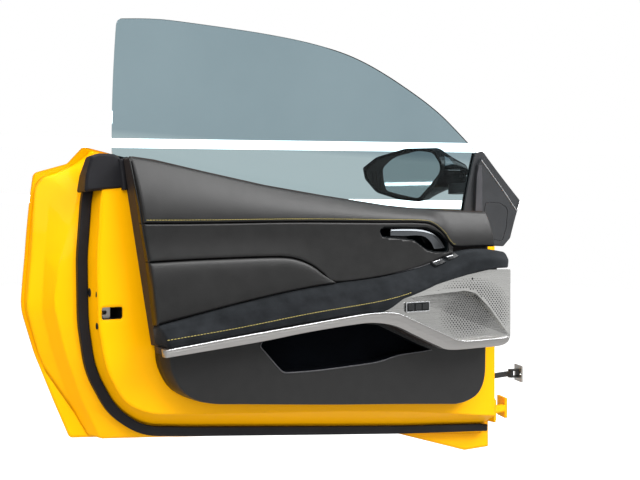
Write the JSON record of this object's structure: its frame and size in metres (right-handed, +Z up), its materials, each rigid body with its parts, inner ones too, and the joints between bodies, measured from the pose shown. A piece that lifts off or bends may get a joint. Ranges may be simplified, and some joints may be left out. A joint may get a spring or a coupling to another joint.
{
  "type": "car door",
  "caption": "Left door of a two-door coupe, shown open, with window glass, folding mirror, trimmed inner side, hinges and check arm.",
  "frame": {"origin": "middle of the lower hinge's bolt pattern on the pillar, on the face that seats on the pillar", "axes": "+X to the front of the open door, +Y to its outer side, +Z up; the door stands 67 degrees open"},
  "size_m": [1.3763, 0.4892, 1.0206],
  "materials": {
    "body_paint": "gloss yellow body paint",
    "seal_rubber": "matt black sponge rubber",
    "latch_plastic": "matt black plastic",
    "zinc_steel": "zinc plated steel",
    "window_glass": "tinted safety glass",
    "satin_black": "satin black",
    "trim_plastic": "dark satin plastic",
    "black_leather": "fine grained black leather with contrast stitching",
    "dark_suede": "dark microfibre suede",
    "satin_aluminium": "satin aluminium",
    "grained_plastic": "grained black covering",
    "pocket_lining": "black flock",
    "grille_metal": "satin silver perforated metal",
    "gloss_black": "gloss black",
    "chrome_trim": "polished chrome",
    "hinge_black": "black coated steel",
    "button_grey": "satin dark grey plastic",
    "mirror_face": "silvered mirror"
  },
  "bodies": {
    "pillar": {"hinge_pillar_leaf_lower": "body_paint", "hinge_pillar_leaf_upper": "body_paint", "check_plate": "zinc_steel", "check_clevis": "hinge_black"},
    "door": {"armrest": "dark_suede", "blade": "satin_aluminium", "cable_socket": "latch_plastic", "corner_cap": "seal_rubber", "handle_bezel": "gloss_black", "handle_lever": "chrome_trim", "hinge_door_leaf_lower": "body_paint", "hinge_door_leaf_upper": "body_paint", "inner_shell": "body_paint", "latch": "latch_plastic", "latch_claw": "zinc_steel", "lower_trim": "grained_plastic", "memory_button_1": "button_grey", "memory_button_2": "button_grey", "memory_button_3": "button_grey", "memory_switch": "gloss_black", "mirror_foot": "satin_black", "outer_handle": "body_paint", "outer_skin": "body_paint", "perimeter_seal": "seal_rubber", "pocket_liner": "pocket_lining", "sail_panel": "satin_black", "sail_plate": "satin_black", "speaker": "latch_plastic", "speaker_box": "latch_plastic", "speaker_grille": "grille_metal", "trim_carrier": "trim_plastic", "trim_mid": "black_leather", "trim_pad": "black_leather", "trim_upper": "black_leather", "waist_seal_inner": "seal_rubber", "waist_seal_outer": "seal_rubber", "window_glass": "window_glass", "window_switch_1": "button_grey", "window_switch_2": "button_grey"},
    "check_arm": {"check_arm": "hinge_black"},
    "mirror": {"mirror_housing": "gloss_black", "mirror_glass": "mirror_face", "mirror_backing": "latch_plastic"}
  },
  "joints": [
    {"name": "door_swing", "type": "hinge", "parent": "pillar", "child": "door", "pos_m": [-0.06349, -0.0165, 0], "axis": [0, 0, 1], "range_deg": [0, 67]},
    {"name": "check_arm_swing", "type": "hinge", "parent": "pillar", "child": "check_arm", "pos_m": [-0.00173, -0.02968, 0.099], "axis": [0, 0, 1], "range_deg": [0, 10]},
    {"name": "mirror_fold", "type": "hinge", "parent": "door", "child": "mirror", "pos_m": [-0.12349, 0.0615, 0.639], "axis": [0, 0, 1], "range_deg": [0, 60]}
  ],
  "couplings": [
    {"joint": "check_arm_swing", "follows": "door_swing", "ratio": 0.1489}
  ]
}
